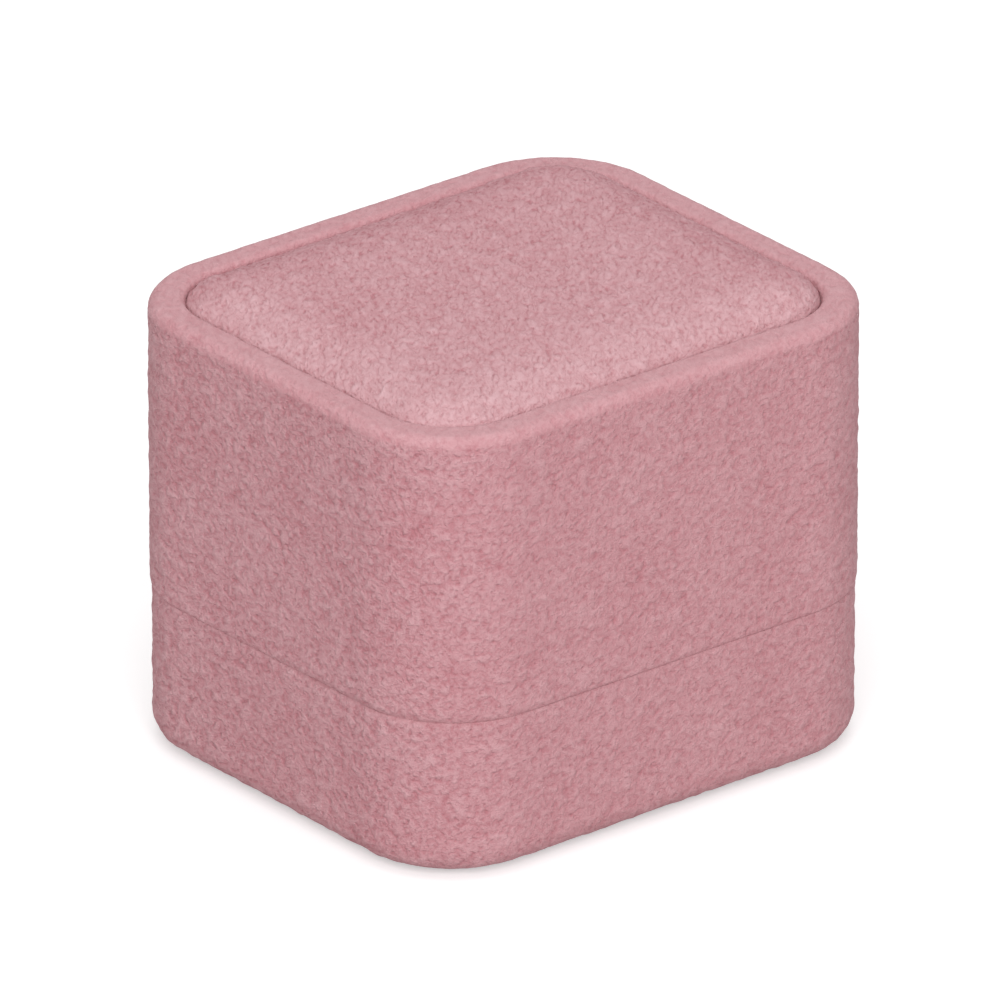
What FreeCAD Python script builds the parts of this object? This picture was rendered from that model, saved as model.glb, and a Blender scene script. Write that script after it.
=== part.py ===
"""Two-piece velvet ring box: a tall lid that lifts off a fabric-covered neck standing in a shallow base.

Every piece is a body of its own. The walls, wraps and linings are level slabs whose outlines run parallel
to the outside of the box, so a piece is described by how far in its faces lie and between which heights.
The frame has +Z up, the front at -Y and the origin on the table under the middle of the base.
"""

import FreeCAD, Part
import math
import os
from collections import namedtuple

import Sketcher

# Driving dimensions, in millimetres: alias, size, what it measures
DRIVING = (
    ("box_width", 60.0, "outside of the lid, left to right"),
    ("box_depth", 52.4, "outside of the lid, front to back"),
    ("rim_height", 47.8, "top of the lid's rim above the table"),
    ("corner_radius", 11.5, "upright corners, outside of the lid"),
    ("seam_height", 17.1, "top edge of the base above the table"),
    ("seam_gap", 0.1, "between the closed lid and the base"),
    ("base_step", 0.2, "base stands in from the lid"),
    ("velvet_thickness", 0.9, "velvet with its pile"),
    ("glue_line", 0.05, "adhesive between two layers"),
    ("wall_thickness", 1.8, "moulded walls of lid and base"),
    ("seam_radius", 0.5, "velvet edges at the seam, the tightest fold of all"),
    ("foot_radius", 2.7, "velvet edge round the foot"),
    ("turn_in", 6.0, "velvet turned in at the seam edges"),
    ("turn_under", 7.0, "velvet turned under flat pieces"),
    ("floor_thickness", 1.8, "floor of the base tray"),
    ("bottom_card_thickness", 0.4, "card under the base"),
    ("bottom_card_margin", 3.2, "bottom card stands in from the base"),
    ("card_edge_radius", 0.15, "lower edge of the bottom card"),
    ("neck_seat", 0.15, "neck inside the base"),
    ("neck_card_thickness", 1.2, "card ring of the neck"),
    ("neck_rise", 9.0, "neck above the seam"),
    ("neck_fold", 7.0, "velvet turned down inside the neck"),
    ("deck_thickness", 1.8, "plate across the lid"),
    ("recess_depth", 5.0, "deck below the rim"),
    ("rim_outer_radius", 1.5, "outer edge of the rim"),
    ("rim_inner_radius", 0.6, "inner edge of the rim"),
    ("lining_thickness", 0.8, "lining of the lid's walls"),
    ("pad_gap", 0.15, "play round a pad in its frame"),
    ("panel_card_thickness", 1.0, "card of the top panel"),
    ("panel_drop", 0.3, "top panel's shoulder below the rim"),
    ("panel_crown", 2.0, "top panel's middle above its shoulder"),
    ("panel_border", 3.6, "width of the top panel's sloping border"),
    ("panel_edge_radius", 1.3, "outer edge of the top panel's border"),
    ("panel_crest_radius", 8.0, "inner edge of the top panel's border"),
    ("ceiling_card_thickness", 0.8, "card of the ceiling pad"),
    ("ceiling_side", 3.2, "ceiling pad's upright sides"),
    ("ceiling_crown", 1.4, "ceiling pad's middle below its sides"),
    ("ceiling_border", 4.0, "width of the ceiling pad's sloping border"),
    ("ceiling_edge_radius", 1.5, "outer edge of the ceiling pad's border"),
    ("ceiling_crest_radius", 8.0, "inner edge of the ceiling pad's border"),
    ("insert_card_thickness", 1.0, "card under the ring rolls"),
    ("ring_slot", 0.5, "between two ring rolls"),
    ("roll_corner", 5.6, "upright corners of a ring roll"),
    ("roll_round", 5.2, "rounded top of a ring roll"),
    ("roll_rise", 1.8, "ring rolls above the neck"),
)

# Working levels and insets. An inset is measured inwards from the outside of the lid.
LAYOUT = (
    ("lid_wall_out", "dims.velvet_thickness + dims.glue_line"),
    ("lid_wall_in", "lid_wall_out + dims.wall_thickness"),
    ("lid_skin_out", "lid_wall_in + dims.glue_line"),
    ("lid_skin_in", "lid_skin_out + dims.velvet_thickness"),
    ("lining_in", "lid_skin_out + dims.lining_thickness"),
    ("base_velvet_in", "dims.base_step + dims.velvet_thickness"),
    ("base_wall_out", "base_velvet_in + dims.glue_line"),
    ("base_wall_in", "base_wall_out + dims.wall_thickness"),
    ("base_skin_out", "base_wall_in + dims.glue_line"),
    ("base_skin_in", "base_skin_out + dims.velvet_thickness"),
    ("neck_out", "base_skin_in + dims.neck_seat"),
    ("neck_velvet_in", "neck_out + dims.velvet_thickness"),
    ("neck_card_out", "neck_velvet_in + dims.glue_line"),
    ("neck_card_in", "neck_card_out + dims.neck_card_thickness"),
    ("neck_fold_out", "neck_card_in + dims.glue_line"),
    ("neck_in", "neck_fold_out + dims.velvet_thickness"),
    ("roll_out", "neck_in + dims.pad_gap"),
    ("panel_out", "lid_skin_in + dims.pad_gap"),
    ("ceiling_out", "lining_in + dims.pad_gap"),
    ("foot_low", "dims.bottom_card_thickness + dims.glue_line"),
    ("tray_low", "foot_low + dims.velvet_thickness + dims.glue_line"),
    ("tray_floor", "tray_low + dims.floor_thickness"),
    ("tray_high", "dims.seam_height - dims.velvet_thickness - dims.glue_line"),
    ("insert_low", "tray_floor + dims.glue_line"),
    ("insert_high", "insert_low + dims.insert_card_thickness"),
    ("neck_high", "dims.seam_height + dims.neck_rise"),
    ("neck_card_high", "neck_high - dims.velvet_thickness - dims.glue_line"),
    ("roll_low", "insert_high + dims.glue_line"),
    ("roll_high", "neck_high + dims.roll_rise"),
    ("lid_low", "dims.seam_height + dims.seam_gap"),
    ("lid_wall_low", "lid_low + dims.velvet_thickness + dims.glue_line"),
    ("lid_wall_high", "dims.rim_height - dims.velvet_thickness - dims.glue_line"),
    ("lid_turn_high", "lid_low + dims.turn_in"),
    ("base_turn_low", "dims.seam_height - dims.turn_in"),
    ("deck_high", "dims.rim_height - dims.recess_depth"),
    ("deck_low", "deck_high - dims.deck_thickness"),
    ("panel_low", "deck_high + dims.glue_line"),
    ("panel_card_low", "panel_low + dims.velvet_thickness + dims.glue_line"),
    ("panel_card_high", "panel_card_low + dims.panel_card_thickness"),
    ("panel_foam_low", "panel_card_high + dims.glue_line"),
    ("panel_shoulder", "dims.rim_height - dims.panel_drop"),
    ("ceiling_high", "deck_low - dims.glue_line"),
    ("ceiling_card_high", "ceiling_high - dims.velvet_thickness - dims.glue_line"),
    ("ceiling_card_low", "ceiling_card_high - dims.ceiling_card_thickness"),
    ("ceiling_foam_high", "ceiling_card_low - dims.glue_line"),
    ("ceiling_shoulder", "ceiling_high - dims.ceiling_side"),
    ("roll_width", "dims.box_width - 2 * roll_out"),
    ("roll_depth", "(dims.box_depth - 2 * roll_out - 2 * dims.ring_slot) / 3"),
    ("roll_pitch", "roll_depth + dims.ring_slot"),
    ("roll_corner_fit", "min(dims.roll_corner; roll_depth / 2 - dims.glue_line)"),
    ("roll_round_fit", "min(dims.roll_round; roll_corner_fit - dims.glue_line)"),
    ("panel_slope", "atan(dims.panel_crown / dims.panel_border)"),
    ("ceiling_slope", "atan(dims.ceiling_crown / dims.ceiling_border)"),
)

ROLL_PLACES = {"front": -1, "middle": 0, "rear": 1}
SAME_PLACE = 1e-4

Outline = namedtuple("Outline", "width depth radius shift_y")
Cushion = namedtuple("Cushion", "outline shoulder up crown border slope edge_radius crest_radius")

doc = FreeCAD.newDocument("ring_box")
dims = doc.addObject("Spreadsheet::Sheet", "dims")
layout = doc.addObject("Spreadsheet::Sheet", "layout")
pieces = []


def fill_sheets():
    """Writes the driving dimensions as plain numbers and the layout as formulas on them."""
    for row, (alias, size, measures) in enumerate(DRIVING, start=1):
        dims.set(f"A{row}", measures)
        dims.set(f"B{row}", str(size))
        dims.setAlias(f"B{row}", alias)
    doc.recompute()
    for row, (alias, formula) in enumerate(LAYOUT, start=1):
        layout.set(f"B{row}", f"={formula}")
        layout.setAlias(f"B{row}", alias)
        doc.recompute()


def number(formula):
    """The present value of a formula on the sheets."""
    return float(dims.evalExpression(formula))


def parallel(inset):
    """The outline that runs the given inset inside the lid's own."""
    return Outline(
        f"dims.box_width - 2 * ({inset})",
        f"dims.box_depth - 2 * ({inset})",
        f"max(dims.corner_radius - ({inset}); dims.seam_radius)",
        "0",
    )


def shrunk(outline, margin):
    """The outline drawn in by a margin on every side."""
    return Outline(
        f"{outline.width} - 2 * ({margin})",
        f"{outline.depth} - 2 * ({margin})",
        f"max({outline.radius} - ({margin}); dims.seam_radius)",
        outline.shift_y,
    )


def inside(cushion, skin):
    """The cushion whose faces all lie a skin's thickness inside those of another."""
    half_slope = f"{cushion.slope} / 2"
    return cushion._replace(
        outline=shrunk(cushion.outline, skin),
        shoulder=f"{cushion.shoulder} - {cushion.up} * ({skin}) * tan(45 deg - {half_slope})",
        crown=f"({cushion.crown} - ({skin}) * (1 - tan(45 deg - {half_slope})))",
        border=f"({cushion.border} - ({skin}) * (1 - tan({half_slope})))",
        edge_radius=f"({cushion.edge_radius} - ({skin}))",
        crest_radius=f"({cushion.crest_radius} - ({skin}))",
    )


def draw_outline(sketch, name, outline):
    """Adds a rounded rectangle to a sketch, centred on its origin and tied to the outline's formulas."""
    across, along, radius = (number(formula) for formula in outline[:3])
    half_x, half_y = across / 2, along / 2
    in_x, in_y = half_x - radius, half_y - radius
    runs = (
        ((-in_x, -half_y), (in_x, -half_y)),
        ((half_x, -in_y), (half_x, in_y)),
        ((in_x, half_y), (-in_x, half_y)),
        ((-half_x, in_y), (-half_x, -in_y)),
    )
    centres = ((in_x, -in_y), (in_x, in_y), (-in_x, in_y), (-in_x, -in_y))
    up = FreeCAD.Vector(0, 0, 1)
    lines, arcs = [], []
    for quarter, ((start, end), centre) in enumerate(zip(runs, centres)):
        segment = Part.LineSegment(FreeCAD.Vector(*start, 0), FreeCAD.Vector(*end, 0))
        circle = Part.Circle(FreeCAD.Vector(*centre, 0), up, radius)
        turn = math.pi / 2 * (quarter - 1)
        lines.append(sketch.addGeometry(segment))
        arcs.append(sketch.addGeometry(Part.ArcOfCircle(circle, turn, turn + math.pi / 2)))
    start_point, end_point, centre_point = 1, 2, 3
    rules = []
    for quarter in range(4):
        after = lines[(quarter + 1) % 4]
        level = "Horizontal" if quarter % 2 == 0 else "Vertical"
        rules.append(Sketcher.Constraint("Tangent", lines[quarter], end_point, arcs[quarter], start_point))
        rules.append(Sketcher.Constraint("Tangent", arcs[quarter], end_point, after, start_point))
        rules.append(Sketcher.Constraint(level, lines[quarter]))
        if quarter:
            rules.append(Sketcher.Constraint("Equal", arcs[0], arcs[quarter]))
    rules.append(Sketcher.Constraint("Symmetric", arcs[0], centre_point, arcs[2], centre_point, -1, 1))
    sketch.addConstraint(rules)
    sizes = {
        "width": Sketcher.Constraint("DistanceX", lines[3], start_point, lines[1], start_point, across),
        "depth": Sketcher.Constraint("DistanceY", lines[0], start_point, lines[2], start_point, along),
        "radius": Sketcher.Constraint("Radius", arcs[0], radius),
    }
    for size, formula in zip(sizes, outline):
        place = sketch.addConstraint(sizes[size])
        sketch.renameConstraint(place, f"{name}_{size}")
        sketch.setExpression(f"Constraints.{name}_{size}", formula)


class Piece:
    """One piece of the box, as a body made of level slabs, cuts, crowns and rounded edges."""

    def __init__(self, label):
        self.body = doc.addObject("PartDesign::Body", label)
        self.body.Label = label
        pieces.append(self.body)

    def feature(self, kind, stem):
        """Adds a feature to the body, named after the piece."""
        return self.body.newObject(f"PartDesign::{kind}", f"{self.body.Name}_{stem}")

    def level_sketch(self, height, *outlines):
        """A level sketch at a height, with one rounded rectangle for each outline."""
        sketch = self.body.newObject("Sketcher::SketchObject", f"{self.body.Name}_outline")
        plane = next(p for p in self.body.Origin.OriginFeatures if p.Role == "XY_Plane")
        sketch.AttachmentSupport = [(plane, "")]
        sketch.MapMode = "FlatFace"
        sketch.setExpression("AttachmentOffset.Base.y", outlines[0].shift_y)
        sketch.setExpression("AttachmentOffset.Base.z", height)
        for place, outline in enumerate(outlines):
            draw_outline(sketch, f"outline{place}", outline)
        doc.recompute()
        return sketch

    def slab(self, low, high, *outlines):
        """Adds a slab between two heights. A second outline leaves its middle open."""
        sketch = self.level_sketch(low, *outlines)
        pad = self.feature("Pad", "slab")
        pad.Profile = sketch
        pad.setExpression("Length", f"({high}) - ({low})")
        doc.recompute()
        return self

    def cut(self, low, high, *outlines):
        """Cuts away a slab between two heights, and checks that something went."""
        before = self.body.Shape.Volume
        sketch = self.level_sketch(low, *outlines)
        pocket = self.feature("Pocket", "cut")
        pocket.Profile = sketch
        pocket.Reversed = True
        pocket.setExpression("Length", f"({high}) - ({low})")
        doc.recompute()
        if self.body.Shape.Volume >= before:
            raise RuntimeError(f"a cut in {self.body.Label} removes nothing")
        return self

    def crown(self, kind, cushion):
        """Adds or cuts a cushion's sloping border and flat top, and rounds both its edges."""
        before = self.body.Shape.Volume
        top = shrunk(cushion.outline, cushion.border)
        top_height = f"{cushion.shoulder} + {cushion.up} * {cushion.crown}"
        shoulder_sketch = self.level_sketch(cushion.shoulder, cushion.outline)
        top_sketch = self.level_sketch(top_height, top)
        loft = self.feature(kind, "crown")
        loft.Profile = shoulder_sketch
        loft.Sections = [top_sketch]
        loft.Ruled = True
        doc.recompute()
        if abs(self.body.Shape.Volume - before) < SAME_PLACE:
            raise RuntimeError(f"a crown of {self.body.Label} changes nothing")
        corner_limit = f"({top.radius} - dims.glue_line) / tan({cushion.slope} / 2)"
        self.rounded(f"min({cushion.crest_radius}; {corner_limit})", (top_height, top))
        return self.rounded(cushion.edge_radius, (cushion.shoulder, cushion.outline))

    def rounded(self, radius, *places):
        """Rounds the level edges found at each pair of height and outline."""
        base = self.body.Tip
        names = []
        for height, outline in places:
            names += level_edges(base.Shape, number(height), number(outline.width) / 2)
        fillet = self.feature("Fillet", "rounding")
        fillet.Base = (base, names)
        fillet.setExpression("Radius", radius)
        doc.recompute()
        return self


def in_order(first, second):
    """Two heights, the lower one first."""
    return (first, second) if number(first) < number(second) else (second, first)


def level_edges(shape, height, half_width):
    """Names of the straight level edges at a height that run front to back at half a width."""
    names = []
    for place, edge in enumerate(shape.Edges, start=1):
        box = edge.BoundBox
        level = abs(box.ZMin - height) < SAME_PLACE and abs(box.ZMax - height) < SAME_PLACE
        upright = abs(box.XMax - box.XMin) < SAME_PLACE and box.YMax - box.YMin > SAME_PLACE
        if level and upright and abs(abs(box.XMin) - half_width) < SAME_PLACE:
            names.append(f"Edge{place}")
    if not names:
        raise RuntimeError(f"no level edge at height {height} and half width {half_width}")
    return names


def make_base():
    """The tray, its velvet wrap and the card that covers the turned-under edges."""
    tray_outside, tray_inside = parallel("layout.base_wall_out"), parallel("layout.base_wall_in")
    tray = Piece("base_tray").slab("layout.tray_low", "layout.tray_high", tray_outside)
    tray.cut("layout.tray_floor", "layout.tray_high", tray_inside)
    tray.rounded(
        "dims.foot_radius - dims.velvet_thickness - dims.glue_line", ("layout.tray_low", tray_outside)
    )

    outside, inside = parallel("dims.base_step"), parallel("layout.base_velvet_in")
    skin_outside, skin_inside = parallel("layout.base_skin_out"), parallel("layout.base_skin_in")
    wrap = Piece("base_velvet").slab("layout.foot_low", "dims.seam_height", outside)
    wrap_floor = "layout.foot_low + dims.velvet_thickness"
    wrap_top = "dims.seam_height - dims.velvet_thickness"
    wrap.cut(wrap_floor, "layout.base_turn_low", inside)
    wrap.cut("layout.base_turn_low", "dims.seam_height", skin_inside)
    wrap.cut("layout.base_turn_low", wrap_top, inside, skin_outside)
    wrap.cut("layout.foot_low", wrap_floor, parallel("dims.base_step + dims.turn_under"))
    wrap.rounded("dims.foot_radius", ("layout.foot_low", outside))
    wrap.rounded("dims.foot_radius - dims.velvet_thickness", (wrap_floor, inside))
    wrap.rounded("dims.seam_radius", ("dims.seam_height", outside), ("dims.seam_height", skin_inside))

    card_outline = parallel("dims.base_step + dims.bottom_card_margin")
    card = Piece("bottom_card").slab("0", "dims.bottom_card_thickness", card_outline)
    card.rounded("dims.card_edge_radius", ("0", card_outline))


def make_neck():
    """The card ring that the lid slides over, and the velvet folded over its top."""
    card_outside, card_inside = parallel("layout.neck_card_out"), parallel("layout.neck_card_in")
    Piece("neck_card").slab("layout.insert_low", "layout.neck_card_high", card_outside, card_inside)

    outside, behind = parallel("layout.neck_out"), parallel("layout.neck_velvet_in")
    fold_outside, inside = parallel("layout.neck_fold_out"), parallel("layout.neck_in")
    fold_low = "layout.neck_high - dims.neck_fold"
    wrap = Piece("neck_velvet").slab("layout.insert_low", "layout.neck_high", outside)
    wrap.cut("layout.insert_low", fold_low, behind)
    wrap.cut(fold_low, "layout.neck_high", inside)
    wrap.cut(fold_low, "layout.neck_high - dims.velvet_thickness", behind, fold_outside)
    wrap.rounded("dims.velvet_thickness", ("layout.neck_high", outside), ("layout.neck_high", inside))


def make_ring_rolls():
    """The card in the neck and the velvet-covered foam rolls that grip rings between them."""
    card_outline = parallel("layout.neck_card_in + dims.pad_gap")
    Piece("insert_card").slab("layout.insert_low", "layout.insert_high", card_outline)
    foam_skin = "dims.velvet_thickness + dims.glue_line"
    foam_high = f"layout.roll_high - ({foam_skin})"
    cover_high = "layout.roll_high - dims.velvet_thickness"
    for name, step in ROLL_PLACES.items():
        outline = Outline(
            "layout.roll_width",
            "layout.roll_depth",
            "layout.roll_corner_fit",
            f"{step} * layout.roll_pitch",
        )
        foam_outline = shrunk(outline, foam_skin)
        foam = Piece(f"{name}_roll_foam").slab("layout.roll_low", foam_high, foam_outline)
        foam.rounded(f"layout.roll_round_fit - ({foam_skin})", (foam_high, foam_outline))
        behind = shrunk(outline, "dims.velvet_thickness")
        cover = Piece(f"{name}_roll_velvet").slab("layout.roll_low", "layout.roll_high", outline)
        cover.cut("layout.roll_low", cover_high, behind)
        cover.rounded("layout.roll_round_fit", ("layout.roll_high", outline))
        cover.rounded("layout.roll_round_fit - dims.velvet_thickness", (cover_high, behind))


def make_lid():
    """The moulded lid with its recessed deck, the velvet wrap over it and the wall lining."""
    wall_outside, wall_inside = parallel("layout.lid_wall_out"), parallel("layout.lid_wall_in")
    shell = Piece("lid_shell").slab("layout.lid_wall_low", "layout.lid_wall_high", wall_outside)
    shell.cut("layout.lid_wall_low", "layout.deck_low", wall_inside)
    shell.cut("layout.deck_high", "layout.lid_wall_high", wall_inside)
    shell.rounded(
        "dims.rim_outer_radius - dims.velvet_thickness - dims.glue_line",
        ("layout.lid_wall_high", wall_outside),
    )

    outside, behind = parallel("0"), parallel("dims.velvet_thickness")
    skin_outside, rim_inside = parallel("layout.lid_skin_out"), parallel("layout.lid_skin_in")
    core_low = "layout.lid_low + dims.velvet_thickness"
    core_high = "dims.rim_height - dims.velvet_thickness"
    wrap = Piece("lid_velvet").slab("layout.lid_low", "dims.rim_height", outside)
    wrap.cut("layout.panel_low", "dims.rim_height", rim_inside)
    wrap.cut("layout.panel_low", core_high, behind, skin_outside)
    wrap.cut("layout.lid_turn_high", "layout.panel_low", behind)
    wrap.cut("layout.lid_low", "layout.lid_turn_high", rim_inside)
    wrap.cut(core_low, "layout.lid_turn_high", behind, skin_outside)
    wrap.rounded("dims.rim_outer_radius", ("dims.rim_height", outside))
    wrap.rounded("dims.rim_inner_radius", ("dims.rim_height", rim_inside))
    wrap.rounded("dims.rim_outer_radius - dims.velvet_thickness", (core_high, behind))
    wrap.rounded("dims.seam_radius", ("layout.lid_low", outside), ("layout.lid_low", rim_inside))

    lining_low = "layout.lid_turn_high + dims.glue_line"
    lining = Piece("lid_lining")
    lining.slab(lining_low, "layout.ceiling_high", skin_outside, parallel("layout.lining_in"))


def make_padded_panel(name, cushion, foot, card_low, card_high, foam_foot):
    """A card and a foam pad, wrapped in velvet that is turned behind the card."""
    core = inside(cushion, "dims.velvet_thickness + dims.glue_line")
    hollow = inside(cushion, "dims.velvet_thickness")
    Piece(f"{name}_card").slab(card_low, card_high, core.outline)
    foam = Piece(f"{name}_foam").slab(*in_order(foam_foot, core.shoulder), core.outline)
    foam.crown("AdditiveLoft", core)
    behind_card = f"{foot} + {cushion.up} * dims.velvet_thickness"
    cover = Piece(f"{name}_velvet").slab(*in_order(foot, cushion.shoulder), cushion.outline)
    cover.crown("AdditiveLoft", cushion)
    cover.cut(*in_order(behind_card, hollow.shoulder), hollow.outline)
    cover.crown("SubtractiveLoft", hollow)
    cover.cut(*in_order(foot, behind_card), shrunk(cushion.outline, "dims.turn_under"))


def make_lid_pads():
    """The padded panel let into the top of the lid and the pad under its deck."""
    panel = Cushion(
        outline=parallel("layout.panel_out"),
        shoulder="layout.panel_shoulder",
        up="1",
        crown="dims.panel_crown",
        border="dims.panel_border",
        slope="layout.panel_slope",
        edge_radius="dims.panel_edge_radius",
        crest_radius="dims.panel_crest_radius",
    )
    make_padded_panel(
        "top_panel",
        panel,
        foot="layout.panel_low",
        card_low="layout.panel_card_low",
        card_high="layout.panel_card_high",
        foam_foot="layout.panel_foam_low",
    )
    ceiling = Cushion(
        outline=parallel("layout.ceiling_out"),
        shoulder="layout.ceiling_shoulder",
        up="-1",
        crown="dims.ceiling_crown",
        border="dims.ceiling_border",
        slope="layout.ceiling_slope",
        edge_radius="dims.ceiling_edge_radius",
        crest_radius="dims.ceiling_crest_radius",
    )
    make_padded_panel(
        "ceiling_pad",
        ceiling,
        foot="layout.ceiling_high",
        card_low="layout.ceiling_card_low",
        card_high="layout.ceiling_card_high",
        foam_foot="layout.ceiling_foam_high",
    )


def check_pieces():
    """Stops before anything is written if a feature failed or a piece isn't one valid solid."""
    doc.recompute()
    for item in doc.Objects:
        if "Invalid" in item.State or "Error" in item.State:
            raise RuntimeError(f"{item.Label} failed: {item.State}")
    for body in pieces:
        shape = body.Shape
        if shape.isNull() or not shape.isValid() or len(shape.Solids) != 1:
            raise RuntimeError(f"{body.Label} isn't one valid solid")


def write_pieces():
    """Writes each piece to its own file."""
    os.makedirs("parts", exist_ok=True)
    for body in pieces:
        body.Shape.exportStep(os.path.join("parts", f"{body.Label}.step"))
        print(f"{body.Label}: {body.Shape.Volume:.1f} mm3")


fill_sheets()
make_base()
make_neck()
make_ring_rolls()
make_lid()
make_lid_pads()
check_pieces()
write_pieces()
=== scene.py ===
"""Looks of the velvet ring box: its wraps, linings and pads, their finishes and the studio around it."""

import logging
import math
import time
from dataclasses import dataclass, field
from enum import Enum
from typing import Sequence

import bmesh
import bpy
import numpy as np
from mathutils import Matrix, Vector, noise


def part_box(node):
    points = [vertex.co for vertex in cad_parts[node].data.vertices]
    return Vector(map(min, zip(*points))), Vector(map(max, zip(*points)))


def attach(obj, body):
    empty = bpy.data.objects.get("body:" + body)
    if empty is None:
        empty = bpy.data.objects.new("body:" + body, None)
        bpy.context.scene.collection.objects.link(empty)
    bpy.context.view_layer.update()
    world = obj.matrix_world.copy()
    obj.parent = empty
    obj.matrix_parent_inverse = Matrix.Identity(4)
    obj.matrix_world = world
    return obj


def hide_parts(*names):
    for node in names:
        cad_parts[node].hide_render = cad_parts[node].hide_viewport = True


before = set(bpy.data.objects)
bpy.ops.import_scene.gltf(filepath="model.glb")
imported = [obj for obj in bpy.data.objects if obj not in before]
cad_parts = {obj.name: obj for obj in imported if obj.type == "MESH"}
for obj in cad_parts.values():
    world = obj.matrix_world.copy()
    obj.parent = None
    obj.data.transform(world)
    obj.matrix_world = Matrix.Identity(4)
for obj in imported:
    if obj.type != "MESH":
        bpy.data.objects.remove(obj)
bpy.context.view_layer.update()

log = logging.getLogger("ring_box")
START = time.time()

MM = 0.001
SAME_POINT = 0.001 * MM

# Sizes of the box and its layers
CORNER_RADIUS = 11.5 * MM
VELVET = 0.9 * MM
GLUE_LINE = 0.05 * MM
NECK_SEAT = 0.15 * MM
NECK_CARD = 1.2 * MM

# How much smaller the panel's corner radius is than one concentric with the lid's
PANEL_CORNER_TUCK = 0.7 * MM

# Cloth is simulated at this many times its real size
CLOTH_SCALE = 20.0

# How far a point goes toward its neighbours each time that a mesh is smoothed
SMOOTH_FACTOR = 0.5

# Attributes of a cover's points: how freely its pile stands, how high it is, and how much painted sheen
# (white standing in for light) it gets
EXPOSED = "exposed"
PILE = "pile"
PAINTED_SHEEN = "painted_sheen"

# Middle value of a pattern or a tone
MIDDLE = 0.5

WHITE = (1.0, 1.0, 1.0, 1.0)
UPRIGHT = (0.0, 0.0, 1.0)

Triple = tuple[float, float, float]
MATERIALS: dict[str, bpy.types.Material] = {}


class Body(Enum):
    """The two bodies that pieces ride on."""

    BASE = "base"
    LID = "lid"


class Slot(Enum):
    """The record's material slots that the fabrics fill."""

    OUTER_VELVET = "outer_velvet"
    INNER_VELVET = "inner_velvet"


@dataclass(frozen=True)
class Layer:
    """One pattern of a finish: how far apart its bumps are, and how much it adds about its middle value."""

    size: float
    share: float
    middle: float = MIDDLE
    detail: float = 1.0
    roughness: float = 0.5


class Graph:
    """A material's node tree, with short ways to add and join nodes."""

    def __init__(self, name: str) -> None:
        """Starts a material whose only nodes are the surface shader and the output.

        Args:
            name: The material's name.
        """
        self.material = bpy.data.materials.new(name)
        self.material.use_nodes = True
        self.tree = self.material.node_tree
        self.shader = self.tree.nodes["Principled BSDF"]

    def add(self, kind: str, **sockets: object) -> bpy.types.Node:
        """Adds a node and fills its sockets.

        Args:
            kind: The node's type, without the leading ShaderNode.
            **sockets: Values, or output sockets to link, by socket name with _ for a space.

        Returns:
            The new node.
        """
        node = self.tree.nodes.new(f"ShaderNode{kind}")
        self.fill(node, **sockets)
        return node

    def fill(self, node: bpy.types.Node, **sockets: object) -> None:
        """Fills several sockets of a node, named with _ for a space."""
        for name, value in sockets.items():
            self.set(node, name.replace("_", " "), value)

    def set(self, node: bpy.types.Node, socket: str | int, value: object) -> None:
        """Gives a socket a value, or links an output socket to it.

        Args:
            node: The node that has the socket.
            socket: The socket's name or place.
            value: A value, or the output socket to link.
        """
        if isinstance(value, bpy.types.NodeSocket):
            self.tree.links.new(value, node.inputs[socket])
        else:
            node.inputs[socket].default_value = value

    def math(self, operation: str, *values: object) -> bpy.types.NodeSocket:
        """Adds a sum.

        Args:
            operation: The kind of sum.
            *values: Up to three numbers or output sockets.

        Returns:
            The socket of the result.
        """
        node = self.add("Math")
        node.operation = operation
        for place, value in enumerate(values):
            self.set(node, place, value)
        return node.outputs["Value"]

    def blend(self, share: bpy.types.NodeSocket, low: Triple, high: Triple) -> bpy.types.NodeSocket:
        """Blends two colours.

        Args:
            share: The socket of the second colour's share.
            low: The colour at a share of 0.
            high: The colour at a share of 1.

        Returns:
            The socket of the blended colour.
        """
        ramp = self.add("ValToRGB", Fac=share)
        for element, colour in zip(ramp.color_ramp.elements, (low, high)):
            element.color = (*colour, 1.0)
        return ramp.outputs["Color"]

    def attribute(self, name: str) -> bpy.types.NodeSocket:
        """Reads one of the piece's own attributes.

        Args:
            name: The attribute's name.

        Returns:
            The socket of its value.
        """
        node = self.add("Attribute")
        node.attribute_name = name
        return node.outputs["Fac"]

    def noise(self, place: bpy.types.NodeSocket, layer: Layer) -> bpy.types.NodeSocket:
        """Adds a noise pattern.

        Args:
            place: The output socket that gives the place on the surface.
            layer: The pattern's size and detail.

        Returns:
            The socket of the pattern's value, from 0 to 1.
        """
        node = self.add(
            "TexNoise", Vector=place, Scale=1.0 / layer.size, Detail=layer.detail, Roughness=layer.roughness
        )
        return node.outputs["Fac"]

    def creased(self, pattern: bpy.types.NodeSocket) -> bpy.types.NodeSocket:
        """Folds a pattern about its middle, which leaves rounded bumps with sharp creases between them."""
        return self.math("SQRT", self.math("ABSOLUTE", self.math("MULTIPLY_ADD", pattern, 2.0, -1.0)))

    def stacked(
        self, start: object, layers: Sequence[tuple[bpy.types.NodeSocket, Layer]]
    ) -> bpy.types.NodeSocket:
        """Adds patterns up, each about its own middle value.

        Args:
            start: The number or output socket that they are added to.
            layers: For each pattern its socket and its layer.

        Returns:
            The socket of the sum.
        """
        total = start
        for pattern, layer in layers:
            change = self.math("MULTIPLY_ADD", pattern, layer.share, -layer.middle * layer.share)
            total = self.math("ADD", total, change)
        return total


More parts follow.
